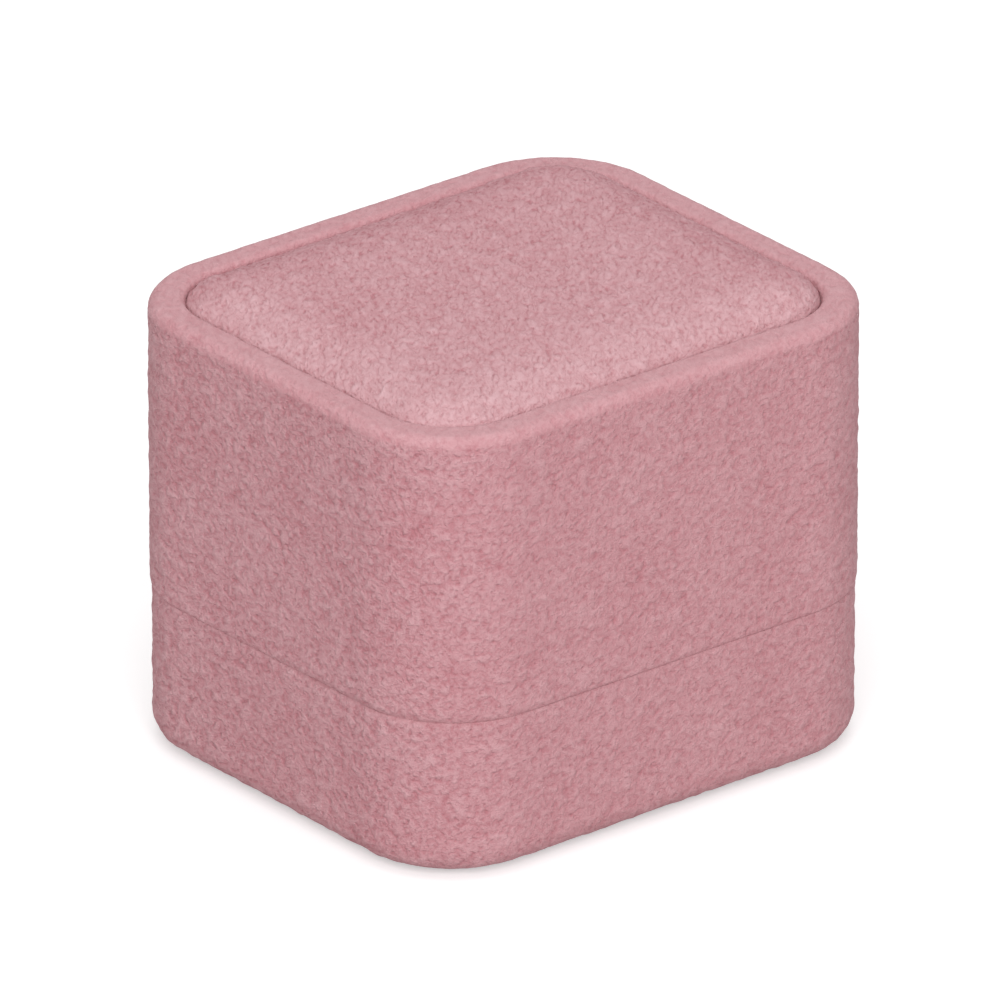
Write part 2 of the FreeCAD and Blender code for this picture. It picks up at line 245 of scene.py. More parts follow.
@dataclass(frozen=True)
class Velvet:
    """A pile fabric. Its clumps of fibres are longer in the direction that the pile is brushed."""

    name: str
    slot: Slot
    deep: Triple
    light: Triple

    # Direction of the brushed pile, and how much longer the clumps are along it
    brushed: Triple = UPRIGHT
    stretch: float = 1.0

    # Patterns: clumps raised in the mesh, creases, pebbles, grain, single fibres and broad patches
    pile: Layer = Layer(size=1.1 * MM, share=0.34)
    crease: Layer = Layer(size=1.05 * MM, share=0.4, middle=0.4)
    pebble: Layer = Layer(size=0.55 * MM, share=1.2, middle=0.49)
    pebble_top: float = 0.58
    grain: Layer = Layer(size=0.22 * MM, share=0.66, detail=2.0, roughness=0.6)
    fibre: Layer = Layer(size=0.1 * MM, share=0.38, roughness=0.6)
    patch: Layer = Layer(size=9.0 * MM, share=0.32)

    # Height of the clumps, with a finer noise on them, and of the patterns
    relief: float = 0.11 * MM
    finer: float = 2.1
    finer_share: float = 0.5
    bump: float = 0.24 * MM
    bump_strength: float = 0.8

    # How much of the patterns is left where the pile is pressed flat, and added on the ruffled side
    pressed: float = 0.45
    ruffle: float = 0.0
    ruffled_side: Triple = (-1.0, 0.0, 0.0)

    # Painted sheen: share of white mixed into the colour where the surface faces the given side, a painted
    # highlight for light falling from above and the front
    painted_sheen_share: float = 0.07
    painted_sheen_facing: Triple = UPRIGHT
    painted_sheen_level: float = 0.0
    painted_sheen_gain: float = 1.0

    sheen: float = 0.12
    sheen_roughness: float = 0.5
    sheen_tint: tuple[float, float, float, float] = (1.0, 0.86, 0.87, 1.0)
    gloss: float = 0.1
    roughness: float = 0.9

    def turn(self) -> Matrix:
        """The rotation that brings the brushed direction upright."""
        return Vector(self.brushed).rotation_difference(Vector(UPRIGHT)).to_matrix()

    def combed(self, graph: Graph, place: bpy.types.NodeSocket) -> bpy.types.NodeSocket:
        """Turns and stretches the places that a pattern reads, so that it lies along the brushed direction.

        Args:
            graph: The material's nodes.
            place: The output socket that gives the place on the surface.

        Returns:
            The socket of the combed place.
        """
        mapping = graph.add("Mapping", Vector=place)
        mapping.vector_type = "TEXTURE"
        graph.fill(mapping, Rotation=self.turn().transposed().to_euler(), Scale=(1.0, 1.0, self.stretch))
        return mapping.outputs["Vector"]

    def material(self) -> bpy.types.Material:
        """Makes the fabric's material.

        Returns:
            A material that reads the place on the object, the attributes of its pile, and its painted sheen.
        """
        graph = Graph(self.name)
        place = graph.add("TexCoord").outputs["Object"]
        combed = self.combed(graph, place)
        pebbles = graph.math("MINIMUM", graph.noise(combed, self.pebble), self.pebble_top)
        tufts = (
            (graph.creased(graph.noise(combed, self.crease)), self.crease),
            (pebbles, self.pebble),
            (graph.noise(combed, self.grain), self.grain),
        )
        hairs = (
            (graph.noise(place, self.fibre), self.fibre),
            (graph.noise(place, self.patch), self.patch),
            (graph.attribute(PILE), self.pile),
        )
        height = graph.stacked(MIDDLE, tufts)
        freedom = graph.math("MULTIPLY_ADD", graph.attribute(EXPOSED), 1.0 - self.pressed, self.pressed)
        tone = graph.math("SUBTRACT", graph.stacked(height, hairs), MIDDLE)
        tone = graph.math("MULTIPLY_ADD", tone, freedom, MIDDLE)
        dyed = graph.blend(tone, self.deep, self.light)
        # Painted sheen: white mixed in by the attribute, a painted highlight where the surface faces the
        # light
        painted_sheen_mix = graph.math("MULTIPLY", graph.attribute(PAINTED_SHEEN), self.painted_sheen_share)
        sheen_painted = graph.add("MixRGB", Fac=painted_sheen_mix, Color1=dyed, Color2=WHITE)
        strength = graph.math("MULTIPLY", freedom, self.bump_strength)
        bump = graph.add("Bump", Height=height, Strength=strength, Distance=self.bump)
        graph.fill(
            graph.shader,
            Base_Color=sheen_painted.outputs["Color"],
            Normal=bump.outputs["Normal"],
            Roughness=self.roughness,
            Specular_IOR_Level=self.gloss,
            Sheen_Weight=self.sheen,
            Sheen_Roughness=self.sheen_roughness,
            Sheen_Tint=self.sheen_tint,
        )
        return graph.material

    def raise_pile(self, mesh: bpy.types.Mesh) -> None:
        """Moves the exposed points of a mesh along their normals, and keeps the pile and a painted sheen
        that depends on which way each point faces as attributes.

        Args:
            mesh: The cover's mesh, with a weight in the EXPOSED attribute where the pile stands free.
        """
        points = rows_of(mesh, "co")
        normals = rows_of(mesh, "normal")
        weights = np.ones(len(points))
        if EXPOSED in mesh.attributes:
            mesh.attributes[EXPOSED].data.foreach_get("value", weights)
        combed = points @ np.array(self.turn()).T / (self.pile.size * np.array((1.0, 1.0, self.stretch)))
        heights = np.array([self.height_at(Vector(point)) for point in combed])
        set_points(mesh, points + normals * (heights * weights * self.relief)[:, None])
        ruffled = np.clip(normals @ np.array(self.ruffled_side), 0.0, 1.0)
        # Painted sheen by facing: the share of white rises as the normal turns toward the given side
        painted_sheen = self.painted_sheen_level + self.painted_sheen_gain * (normals @ np.array(self.painted_sheen_facing))
        kept = {
            EXPOSED: weights * (1.0 + self.ruffle * ruffled),
            PILE: (1.0 + heights) / 2,
            PAINTED_SHEEN: np.clip(painted_sheen, 0.0, 1.0),
        }
        for name, values in kept.items():
            stored = mesh.attributes.get(name) or mesh.attributes.new(name, "FLOAT", "POINT")
            stored.data.foreach_set("value", values)

    def height_at(self, point: Vector) -> float:
        """Height of the pile at a place measured in clumps, from -1 to 1."""
        clumps = noise.noise(point) + self.finer_share * noise.noise(point * self.finer)
        return max(-1.0, min(1.0, clumps))


@dataclass(frozen=True)
class Board:
    """A stiff hidden material with a grain and speckle of its own: moulding, card or paper."""

    name: str
    deep: Triple
    light: Triple
    grain: float
    relief: float
    roughness: float
    blotch: float = 6.0
    blotch_share: float = 0.4
    grain_share: float = 0.6
    bump_strength: float = 0.4

    def material(self) -> bpy.types.Material:
        """Makes the material from two noises on object coordinates.

        Returns:
            The new material.
        """
        graph = Graph(self.name)
        place = graph.add("TexCoord").outputs["Object"]
        blotches = Layer(self.grain * self.blotch, self.blotch_share, detail=2.0)
        grains = Layer(self.grain, self.grain_share, detail=3.0, roughness=0.6)
        fine = graph.noise(place, grains)
        tone = graph.stacked(MIDDLE, ((graph.noise(place, blotches), blotches), (fine, grains)))
        bump = graph.add("Bump", Height=fine, Strength=self.bump_strength, Distance=self.relief)
        graph.fill(
            graph.shader,
            Base_Color=graph.blend(tone, self.deep, self.light),
            Normal=bump.outputs["Normal"],
            Roughness=self.roughness,
        )
        return graph.material


WALL_VELVET = Velvet(
    name="wall_velvet",
    slot=Slot.OUTER_VELVET,
    deep=(0.505, 0.202, 0.229),
    light=(0.664, 0.379, 0.408),
    brushed=(-0.6, -0.76, 0.25),
    stretch=1.8,
    bump=0.29 * MM,
    ruffle=0.6,
    # Faint painted sheen on faces turned upward
    painted_sheen_share=0.045,
)
PANEL_VELVET = Velvet(
    name="panel_velvet",
    slot=Slot.OUTER_VELVET,
    deep=(0.461, 0.16, 0.186),
    light=(0.672, 0.387, 0.42),
    brushed=(-0.6, -0.76, 0.2),
    stretch=2.4,
    pile=Layer(size=0.9 * MM, share=0.34),
    crease=Layer(size=0.75 * MM, share=0.62, middle=0.4),
    pebble=Layer(size=0.4 * MM, share=1.7, middle=0.46),
    pebble_top=0.5,
    grain=Layer(size=0.22 * MM, share=0.5, detail=2.0, roughness=0.6),
    bump=0.16 * MM,
    # Painted highlight: white mixed in on slopes that face the front left, so the panel's front border looks
    # lit
    painted_sheen_share=0.1,
    painted_sheen_facing=(-0.63, -0.777, 0.0),
    painted_sheen_level=0.48,
    painted_sheen_gain=2.4,
)
INNER_VELVET = Velvet(
    name="inner_velvet",
    slot=Slot.INNER_VELVET,
    deep=(0.47, 0.22, 0.245),
    light=(0.71, 0.41, 0.44),
)
MOULDING = Board(
    name="moulding",
    deep=(0.68, 0.66, 0.63),
    light=(0.78, 0.76, 0.73),
    grain=0.4 * MM,
    relief=0.02 * MM,
    roughness=0.5,
)
CARD = Board(
    name="card",
    deep=(0.28, 0.25, 0.21),
    light=(0.42, 0.38, 0.33),
    grain=0.25 * MM,
    relief=0.03 * MM,
    roughness=0.9,
)
PAPER = Board(
    name="bottom_paper",
    deep=(0.42, 0.19, 0.215),
    light=(0.56, 0.28, 0.31),
    grain=0.15 * MM,
    relief=0.03 * MM,
    roughness=0.95,
)


def heights(node: str) -> tuple[float, float]:
    """The lowest and highest level of a node."""
    low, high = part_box(node)
    return low[2], high[2]


def rows_of(mesh: bpy.types.Mesh, name: str) -> np.ndarray:
    """Reads a value of each of a mesh's points.

    Args:
        mesh: The mesh.
        name: The value's name: co for the place, or normal.

    Returns:
        One row of three numbers for each point.
    """
    rows = np.empty(len(mesh.vertices) * 3)
    mesh.vertices.foreach_get(name, rows)
    return rows.reshape(-1, 3)


def set_points(mesh: bpy.types.Mesh, points: np.ndarray) -> None:
    """Moves a mesh's points to these rows."""
    mesh.vertices.foreach_set("co", points.ravel())
    mesh.update()


def smooth(mesh: bpy.types.Mesh, times: int) -> None:
    """Evens out the steps that a voxel remesh leaves.

    Args:
        mesh: The mesh.
        times: How often each point moves toward its neighbours.
    """
    bm = bmesh.new()
    bm.from_mesh(mesh)
    for _ in range(times):
        bmesh.ops.smooth_vert(
            bm, verts=bm.verts, factor=SMOOTH_FACTOR, use_axis_x=True, use_axis_y=True, use_axis_z=True
        )
    bm.to_mesh(mesh)
    bm.free()


def apply_modifiers(piece: bpy.types.Object) -> None:
    """Turns what a piece's modifiers show into its mesh.

    Args:
        piece: The piece, which loses its modifiers.
    """
    graph = bpy.context.evaluated_depsgraph_get()
    old = piece.data
    mesh = bpy.data.meshes.new_from_object(piece.evaluated_get(graph))
    piece.modifiers.clear()
    piece.data = mesh
    mesh.name = piece.name
    bpy.data.meshes.remove(old)
    mesh.shade_smooth()


def make_object(name: str, bm: bmesh.types.BMesh) -> bpy.types.Object:
    """Turns a bmesh into an object at the origin.

    Args:
        name: The piece's name.
        bm: The mesh, which is freed.

    Returns:
        The new object, shaded smooth.
    """
    mesh = bpy.data.meshes.new(name)
    bm.to_mesh(mesh)
    bm.free()
    mesh.shade_smooth()
    piece = bpy.data.objects.new(name, mesh)
    bpy.context.scene.collection.objects.link(piece)
    return piece


def dress(piece: bpy.types.Object, finish: Velvet, body: Body, *nodes: str) -> None:
    """Gives a cover its pile and finish, and puts it in place of its nodes.

    Args:
        piece: The cover.
        finish: Its fabric.
        body: The body that it rides on.
        *nodes: The nodes that it stands for.
    """
    finish.raise_pile(piece.data)
    piece.data.materials.clear()
    piece.data.materials.append(MATERIALS[finish.name])
    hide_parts(*nodes)
    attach(piece, body.value)


def report(piece: bpy.types.Object) -> None:
    """Logs a finished piece."""
    log.info("%s: %d faces, %.1f s", piece.name, len(piece.data.polygons), time.time() - START)


class Profile:
    """A closed cross-section of a wrap, walked point by point as insets from the plan and heights."""

    def __init__(self, inset: float, height: float) -> None:
        """Starts the walk at a point with no pile on it."""
        self.points: list[Triple] = [(inset, height, 0.0)]

    def line(self, inset: float, height: float, pile: float = 0.0, step: float = 0.0) -> None:
        """Walks straight to a point.

        Args:
            inset: Inset of the point.
            height: Height of the point.
            pile: How freely the pile stands on this stretch, from 0 to 1.
            step: Largest distance between points, or 0 for none between.
        """
        start = Vector(self.points[-1][:2])
        run = Vector((inset, height)) - start
        count = max(1, math.ceil(run.length / step)) if step else 1
        for part in range(1, count + 1):
            point = start + run * (part / count)
            self.points.append((point.x, point.y, pile))

    def arc(self, inset: float, height: float, turn: float, pile: float = 0.0, step: float = 1.0) -> None:
        """Walks round a centre.

        Args:
            inset: Inset of the centre.
            height: Height of the centre.
            turn: Angle to walk, in degrees, counter-clockwise with insets to the right.
            pile: How freely the pile stands on this stretch, from 0 to 1.
            step: Largest distance between points.
        """
        centre = Vector((inset, height))
        arm = Vector(self.points[-1][:2]) - centre
        count = max(2, math.ceil(arm.length * math.radians(abs(turn)) / step))
        for part in range(1, count + 1):
            point = centre + Matrix.Rotation(math.radians(turn) * part / count, 2) @ arm
            self.points.append((point.x, point.y, pile))

    def quarter(self, inset: float, height: float, upright: bool, pile: float, count: int = 6) -> None:
        """Walks a quarter of an ellipse to a point, with free pile only where the way is upright.

        Args:
            inset: Inset of the point.
            height: Height of the point.
            upright: Whether the way starts upright and ends level, or the other way round.
            pile: How freely the pile stands at the upright end, from 0 to 1.
            count: Number of points.
        """
        start_inset, start_height = self.points[-1][:2]
        for part in range(1, count + 1):
            turn = math.pi / 2 * part / count
            late, early = 1.0 - math.cos(turn), math.sin(turn)
            across, along = (late, early) if upright else (early, late)
            self.points.append((
                start_inset + (inset - start_inset) * across,
                start_height + (height - start_height) * along,
                pile * (1.0 - late if upright else early),
            ))

    def length(self) -> float:
        """The way once round the closed cross-section."""
        ends = self.points[1:] + self.points[:1]
        return sum(math.dist(here[:2], there[:2]) for here, there in zip(self.points, ends))


@dataclass(frozen=True)
class Plan:
    """The rounded rectangle that every wrap follows, seen from above."""

    half_width: float
    half_depth: float
    corner: float = CORNER_RADIUS

    @classmethod
    def of_node(cls, node: str) -> "Plan":
        """The plan of a node's own outside."""
        low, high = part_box(node)
        return cls((high[0] - low[0]) / 2, (high[1] - low[1]) / 2)

    def inset_of(self, node: str) -> float:
        """How far a node's outside stands in from the plan."""
        return self.half_width - Plan.of_node(node).half_width

    def perimeter(self, inset: float) -> float:
        """The way round at an inset."""
        around = 4 * (self.half_width + self.half_depth) - 8 * self.corner
        return around + 2 * math.pi * (self.corner - inset)

    def sweep(self, profile: Profile, step: float) -> bmesh.types.BMesh:
        """Carries a profile once round the plan.

        Args:
            profile: The closed cross-section.
            step: Distance between two places along the way.

        Returns:
            A closed ring of quads, with the profile's pile in the EXPOSED layer.
        """
        bm = bmesh.new()
        exposed = bm.verts.layers.float.new(EXPOSED)
        run_x, run_y = self.half_width - self.corner, self.half_depth - self.corner
        ring = []
        for inset, height, pile in profile.points:
            vert = bm.verts.new((0.0, inset - self.half_depth, height))
            vert[exposed] = pile
            ring.append(vert)
        geom = ring + [bm.edges.new(pair) for pair in zip(ring, ring[1:] + ring[:1])]
        bend = self.corner * math.pi / 2
        stretches = (
            {"dvec": Vector((run_x, 0.0, 0.0)), "angle": 0.0, "steps": round(run_x / step)},
            {"dvec": Vector(), "angle": math.pi / 2, "steps": round(bend / step)},
            {"dvec": Vector((0.0, run_y, 0.0)), "angle": 0.0, "steps": round(run_y / step)},
        )
        for stretch in stretches:
            stretch["dvec"] = stretch["dvec"] / stretch["steps"]
            geom = bmesh.ops.spin(
                bm, geom=geom, cent=(run_x, -run_y, 0.0), axis=UPRIGHT, use_duplicate=False, **stretch
            )["geom_last"]
        for axis in ("X", "Y"):
            quarter = bm.verts[:] + bm.edges[:] + bm.faces[:]
            bmesh.ops.mirror(bm, geom=quarter, matrix=Matrix(), merge_dist=SAME_POINT, axis=axis)
        bmesh.ops.remove_doubles(bm, verts=bm.verts, dist=SAME_POINT)
        bmesh.ops.recalc_face_normals(bm, faces=bm.faces)
        return bm


@dataclass
class Wrap:
    """A strip of velvet glued round a wall. Each kind draws its own cross-section."""

    name: str
    node: str
    carrier: str
    body: Body
    finish: Velvet

    # Distance between points along the way round and up the walls
    step: float = 0.5 * MM
    rise: float = 0.22 * MM

    # Edges at the seam, whose fuzz almost closes it
    seam_radius: float = 0.25 * MM
    seam_dip: float = 0.22 * MM
    seam_rise: float = 0.5 * MM
    fuzz: float = 0.038 * MM
    turn_in: float = 6.0 * MM
    inner_pile: float = 0.25

    # Stretch where the seam stands a little open
    seam_slack: float = 0.45 * MM
    seam_reach: float = 1.0 * MM
    seam_spot: tuple[float, float] = (-30.0 * MM, -14.0 * MM)
    seam_spread: float = 11.0 * MM

    def profile(self, plan: Plan) -> Profile:
        """The strip's closed cross-section."""
        raise NotImplementedError

    def seam_level(self) -> float | None:
        """Height of the strip's edge at the seam, if it has one."""
        return None

    def open_seam(self, mesh: bpy.types.Mesh, plan: Plan, level: float) -> None:
        """Draws the outside in near the seam, round the corner where it stands a little open.

        Args:
            mesh: The strip's mesh.
            plan: The plan that the strip follows.
            level: Height of the seam.
        """
        points = rows_of(mesh, "co")
        flat = points[:, :2]
        core = np.array((plan.half_width - plan.corner, plan.half_depth - plan.corner))
        arms = flat - np.clip(flat, -core, core)
        reach = np.maximum(np.linalg.norm(arms, axis=1), SAME_POINT)
        near = np.clip(1.0 - np.abs(points[:, 2] - level) / self.seam_reach, 0.0, 1.0) ** 2
        outer = np.clip(1.0 - (plan.corner - reach) / VELVET, 0.0, 1.0)
        away = ((flat - np.array(self.seam_spot)) ** 2).sum(axis=1)
        place = np.exp(-away / (2 * self.seam_spread**2))
        depth = self.seam_slack * near * outer * place
        points[:, :2] -= arms * (depth / reach)[:, None]
        set_points(mesh, points)

    def build(self, plan: Plan) -> None:
        """Args:
            plan: The plan that the strip follows.
        """
        section = self.profile(plan)
        piece = make_object(self.name, plan.sweep(section, self.step))
        level = self.seam_level()
        if level is not None:
            self.open_seam(piece.data, plan, level)
        dress(piece, self.finish, self.body, self.node)
        inset = sum(point[0] for point in section.points) / len(section.points)
        flat = (plan.perimeter(inset), section.length() / 2 - VELVET)
        report(piece)


@dataclass
class LidCover(Wrap):
    """The velvet round the lid, over its rim into the recess and in at the seam."""

    rim_radius: float = 1.2 * MM
    lip_radius: float = 0.8 * MM
    rim_pile: float = 0.45
    groove_fill: float = 0.12 * MM
    groove_depth: float = 1.2 * MM

    def seam_level(self) -> float:
        """Height of the lid's lower edge."""
        return heights(self.node)[0]

    def profile(self, plan: Plan) -> Profile:
        """Draws the lid's outside, its rim, the recess, and back behind the strip.

        Args:
            plan: The plan that the strip follows.

        Returns:
            The closed cross-section.
        """
        low, high = heights(self.node)
        low -= self.fuzz
        deck = heights("top_panel_velvet")[0]
        wall = plan.inset_of("lid_lining")
        width = wall + VELVET
        groove = width + self.groove_fill
        rim, lip = self.rim_radius, self.lip_radius
        seam, fine = self.seam_radius, self.rise
        section = Profile(0.0, low + self.seam_rise)
        section.line(0.0, high - rim, 1.0, fine)
        section.arc(rim, high - rim, -90.0, self.rim_pile, fine)
        section.line(width - lip, high, self.rim_pile, fine)
        section.arc(width - lip, high - lip, -90.0, self.rim_pile, fine)
        section.line(groove, high - self.groove_depth, self.inner_pile, fine)
        section.line(groove, deck, self.inner_pile, 2 * fine)
        section.line(wall, deck)
        section.line(wall, high - VELVET)
        section.line(rim, high - VELVET)
        section.arc(rim, high - rim, 90.0)
        section.line(VELVET, low + VELVET)
        section.line(wall, low + VELVET)
        section.line(wall, low + self.turn_in)
        section.line(width, low + self.turn_in)
        section.line(width, low + seam, self.inner_pile, 2 * fine)
        section.arc(width - seam, low + seam, -90.0, 0.0, fine)
        section.line(self.seam_dip, low, 0.0, 2 * fine)
        section.quarter(0.0, low + self.seam_rise, False, 1.0)
        # The walk ends where it began, with free pile there, so its bare first point goes
        section.points.pop(0)
        return section


@dataclass
class BaseCover(Wrap):
    """The velvet round the base, in at the seam and under the foot."""

    foot_radius: float = 2.7 * MM
    turn_under: float = 7.0 * MM

    def seam_level(self) -> float:
        """Height of the base's upper edge."""
        return heights(self.node)[1]

    def profile(self, plan: Plan) -> Profile:
        """Draws the foot, the base's outside, the seam, and back behind the strip.

        Args:
            plan: The plan that the strip follows.

        Returns:
            The closed cross-section.
        """
        low, high = heights(self.node)
        high += self.fuzz
        out = plan.inset_of(self.node)
        wall = plan.inset_of("neck_velvet") - NECK_SEAT - VELVET
        width = wall + VELVET
        foot, seam, fine = self.foot_radius, self.seam_radius, self.rise
        section = Profile(out + self.turn_under, low)
        section.line(out + foot, low, self.inner_pile, 2 * fine)
        section.arc(out + foot, low + foot, -90.0, 1.0, fine)
        section.line(out, high - self.seam_rise, 1.0, fine)
        section.quarter(out + self.seam_dip, high, True, 1.0)
        section.line(width - seam, high, 0.0, 2 * fine)
        section.arc(width - seam, high - seam, -90.0, 0.0, fine)
        section.line(width, high - self.turn_in, self.inner_pile, 2 * fine)
        section.line(wall, high - self.turn_in)
        section.line(wall, high - VELVET)
        section.line(out + VELVET, high - VELVET)
        section.line(out + VELVET, low + foot)
        section.arc(out + foot, low + foot, 90.0)
        section.line(out + self.turn_under, low + VELVET)
        return section


@dataclass
class NeckCover(Wrap):
    """The velvet folded over the neck."""

    step: float = 1.0 * MM
    fold: float = 7.0 * MM

    def profile(self, plan: Plan) -> Profile:
        """Draws the neck's outside, its edge, the way down inside, and back behind the strip.

        Args:
            plan: The plan that the strip follows.

        Returns:
            The closed cross-section.
        """
        low, high = heights(self.node)
        out = plan.inset_of(self.node)
        card = plan.inset_of("neck_card") - out + NECK_CARD + GLUE_LINE
        inner = out + card + VELVET
        fine = 2 * self.rise
        section = Profile(out, low)
        section.line(out, high - VELVET, self.inner_pile, fine)
        section.arc(out + VELVET, high - VELVET, -90.0, self.inner_pile, fine)
        section.line(inner - VELVET, high, self.inner_pile, fine)
        section.arc(inner - VELVET, high - VELVET, -90.0, self.inner_pile, fine)
        section.line(inner, high - self.fold, self.inner_pile, fine)
        section.line(inner - VELVET, high - self.fold)
        section.line(inner - VELVET, high - VELVET)
        section.line(out + VELVET, high - VELVET)
        section.line(out + VELVET, low)
        return section


@dataclass
class LidLining(Wrap):
    """The fabric on the inside of the lid's walls."""

    step: float = 1.0 * MM
    thickness: float = 0.8 * MM

    def profile(self, plan: Plan) -> Profile:
        """Draws a plain band with its pile facing in.

        Args:
            plan: The plan that the strip follows.

        Returns:
            The closed cross-section.
        """
        low, high = heights(self.node)
        out = plan.inset_of(self.node)
        inner = out + self.thickness
        section = Profile(out, low)
        section.line(out, high)
        section.line(inner, high)
        section.line(inner, low, self.inner_pile, 2 * self.rise)
        return section


@dataclass
class Pad:
    """Foam under velvet, swollen as cloth from a flat block."""

    name: str
    nodes: tuple[str, str]
    body: Body
    finish: Velvet

    # Rounding of the block's corners and upper edges, rise of its middle, and how full it is
    corner: float
    edge: float
    crown: float
    fill: float

    # Whether it hangs from above, and how much fuller it is toward +X
    hangs: bool = False
    lift: float = 0.0

    # Gap round the block, and how far its sides may swell
    margin: float = 0.03 * MM
    side_cap: float = 0.1 * MM

    # Height of the upper band that isn't held, and how the cloth is blown up
    free: float = 1.0 * MM
    pressure: float = 4.0
    frames: int = 20

    voxel: float = 1.1 * MM
    corner_segments: int = 8
    edge_segments: int = 4
    smoothing: int = 3
    subdivisions: int = 2

    def start_form(self, size: Vector) -> bmesh.types.BMesh:
        """Makes the flat block, standing on the origin.

        Args:
            size: The pad's full size.

        Returns:
            A closed block with rounded corners and softened upper edges, lower than the pad by its crown.
        """
        height = size.z - self.crown
        bm = bmesh.new()
        bmesh.ops.create_cube(bm, size=1.0)
        bmesh.ops.scale(bm, verts=bm.verts, vec=(size.x - 2 * self.margin, size.y - 2 * self.margin, height))
        bmesh.ops.translate(bm, verts=bm.verts, vec=(0.0, 0.0, height / 2))
        upright = [edge for edge in bm.edges if edge.verts[0].co.z != edge.verts[1].co.z]
        self.bevel(bm, upright, self.corner, self.corner_segments)
        top = max(bm.faces, key=lambda face: face.calc_center_median().z)
        self.bevel(bm, list(top.edges), self.edge, self.edge_segments)
        return bm

    @staticmethod
    def bevel(bm: bmesh.types.BMesh, edges: list[bmesh.types.BMEdge], offset: float, segments: int) -> None:
        """Rounds some edges off.

        Args:
            bm: The mesh.
            edges: The edges.
            offset: How far the rounding reaches from each edge.
            segments: Number of its facets.
        """
        bmesh.ops.bevel(
            bm, geom=edges, offset=offset, offset_type="OFFSET", affect="EDGES",
            segments=segments, profile=0.5, material=-1, clamp_overlap=True,
        )

    def blow_up(self, piece: bpy.types.Object, held_top: float) -> None:
        """Runs the cloth and keeps the form that it comes to.

        Args:
            piece: The pad, at the scale of the simulation.
            held_top: Height below which its points are held.
        """
        held = piece.vertex_groups.new(name="held")
        low = np.flatnonzero(rows_of(piece.data, "co")[:, 2] < held_top)
        held.add(low.tolist(), 1.0, "REPLACE")
        cloth = piece.modifiers.new("cloth", "CLOTH")
        cloth.settings.use_pressure = True
        cloth.settings.uniform_pressure_force = self.pressure
        cloth.settings.effector_weights.gravity = 0.0
        cloth.settings.vertex_group_mass = held.name
        cloth.point_cache.frame_start = 1
        cloth.point_cache.frame_end = self.frames
        for number in range(1, self.frames + 1):
            bpy.context.scene.frame_set(number)
        apply_modifiers(piece)
        bpy.context.scene.frame_set(1)

    def swell(self, piece: bpy.types.Object, size: Vector) -> None:
        """Blows the block up as cloth whose lower part is held, and caps how far each point may go.

        Args:
            piece: The pad, at the scale of the simulation.
            size: The pad's full size, unscaled.
        """
        start = rows_of(piece.data, "co")
        start_top = start[:, 2].max()
        held_top = (size.z - self.crown - max(self.free, self.edge)) * CLOTH_SCALE
        self.blow_up(piece, held_top)
        moved = rows_of(piece.data, "co") - start
        side = self.side_cap * CLOTH_SCALE
        moved[:, :2] = np.clip(moved[:, :2], -side, side)
        cap = self.crown * CLOTH_SCALE
        moved[:, 2] = cap * np.tanh(moved[:, 2] / cap)
        moved[:, 2] *= (size.z * CLOTH_SCALE - start_top) / moved[:, 2].max()
        loose = np.clip((start[:, 2] - held_top) / (start_top - held_top), 0.0, 1.0)
        across = (start[:, 0] / CLOTH_SCALE + size.x / 2) / size.x
        moved[:, 2] += self.lift * CLOTH_SCALE * loose * across
        set_points(piece.data, start + moved)

    def place(self, piece: bpy.types.Object, low: Vector, high: Vector) -> None:
        """Brings the swollen form back to its size and into the space of its node.

        Args:
            piece: The pad, at the scale of the simulation.
            low: The node's lowest corner.
            high: The node's highest corner.
        """
        points = rows_of(piece.data, "co") / CLOTH_SCALE
        if self.hangs:
            # Half a turn about the X axis
            points[:, 1:] *= -1.0
        middle = (low + high) / 2
        points += np.array((middle.x, middle.y, high.z if self.hangs else low.z))
        set_points(piece.data, points)

    def build(self) -> None:
        low, high = (Vector(corner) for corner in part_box(self.nodes[0]))
        size = high - low
        bm = self.start_form(size)
        bmesh.ops.scale(bm, verts=bm.verts, vec=(CLOTH_SCALE,) * 3)
        piece = make_object(self.name, bm)
        remesh = piece.modifiers.new("remesh", "REMESH")
        remesh.mode = "VOXEL"
        remesh.voxel_size = self.voxel * CLOTH_SCALE
        apply_modifiers(piece)
        smooth(piece.data, self.smoothing)
        self.swell(piece, size)
        self.place(piece, low, high)
        subdivision = piece.modifiers.new("subdivision", "SUBSURF")
        subdivision.levels = subdivision.render_levels = self.subdivisions
        apply_modifiers(piece)
        dress(piece, self.finish, self.body, *self.nodes)
        report(piece)


@dataclass
class TopPad(Pad):
    """The padded panel in the lid's recess, a little fuller at one end."""

    edge: float = 0.8 * MM
    crown: float = 1.2 * MM
    fill: float = 0.85
    lift: float = 0.7 * MM
    margin: float = 0.12 * MM
    pressure: float = 12.0
    voxel: float = 0.8 * MM
    smoothing: int = 1
    subdivisions: int = 1


@dataclass
class CeilingPad(Pad):
    """The pad under the lid's deck, over the rings."""

    edge: float = 0.8 * MM
    crown: float = 1.4 * MM
    fill: float = 0.7
    hangs: bool = True


@dataclass
class RingRoll(Pad):
    """One of the rolls that hold the rings between them."""

    corner: float = 5.6 * MM
    edge: float = 4.8 * MM
    crown: float = 0.5 * MM
    fill: float = 0.9


def direction(azimuth: float, elevation: float) -> Vector:
    """The direction from the box to a viewer at these angles, in degrees."""
    turn, rise = math.radians(azimuth), math.radians(elevation)
    return Vector((math.sin(turn) * math.cos(rise), -math.cos(turn) * math.cos(rise), math.sin(rise)))


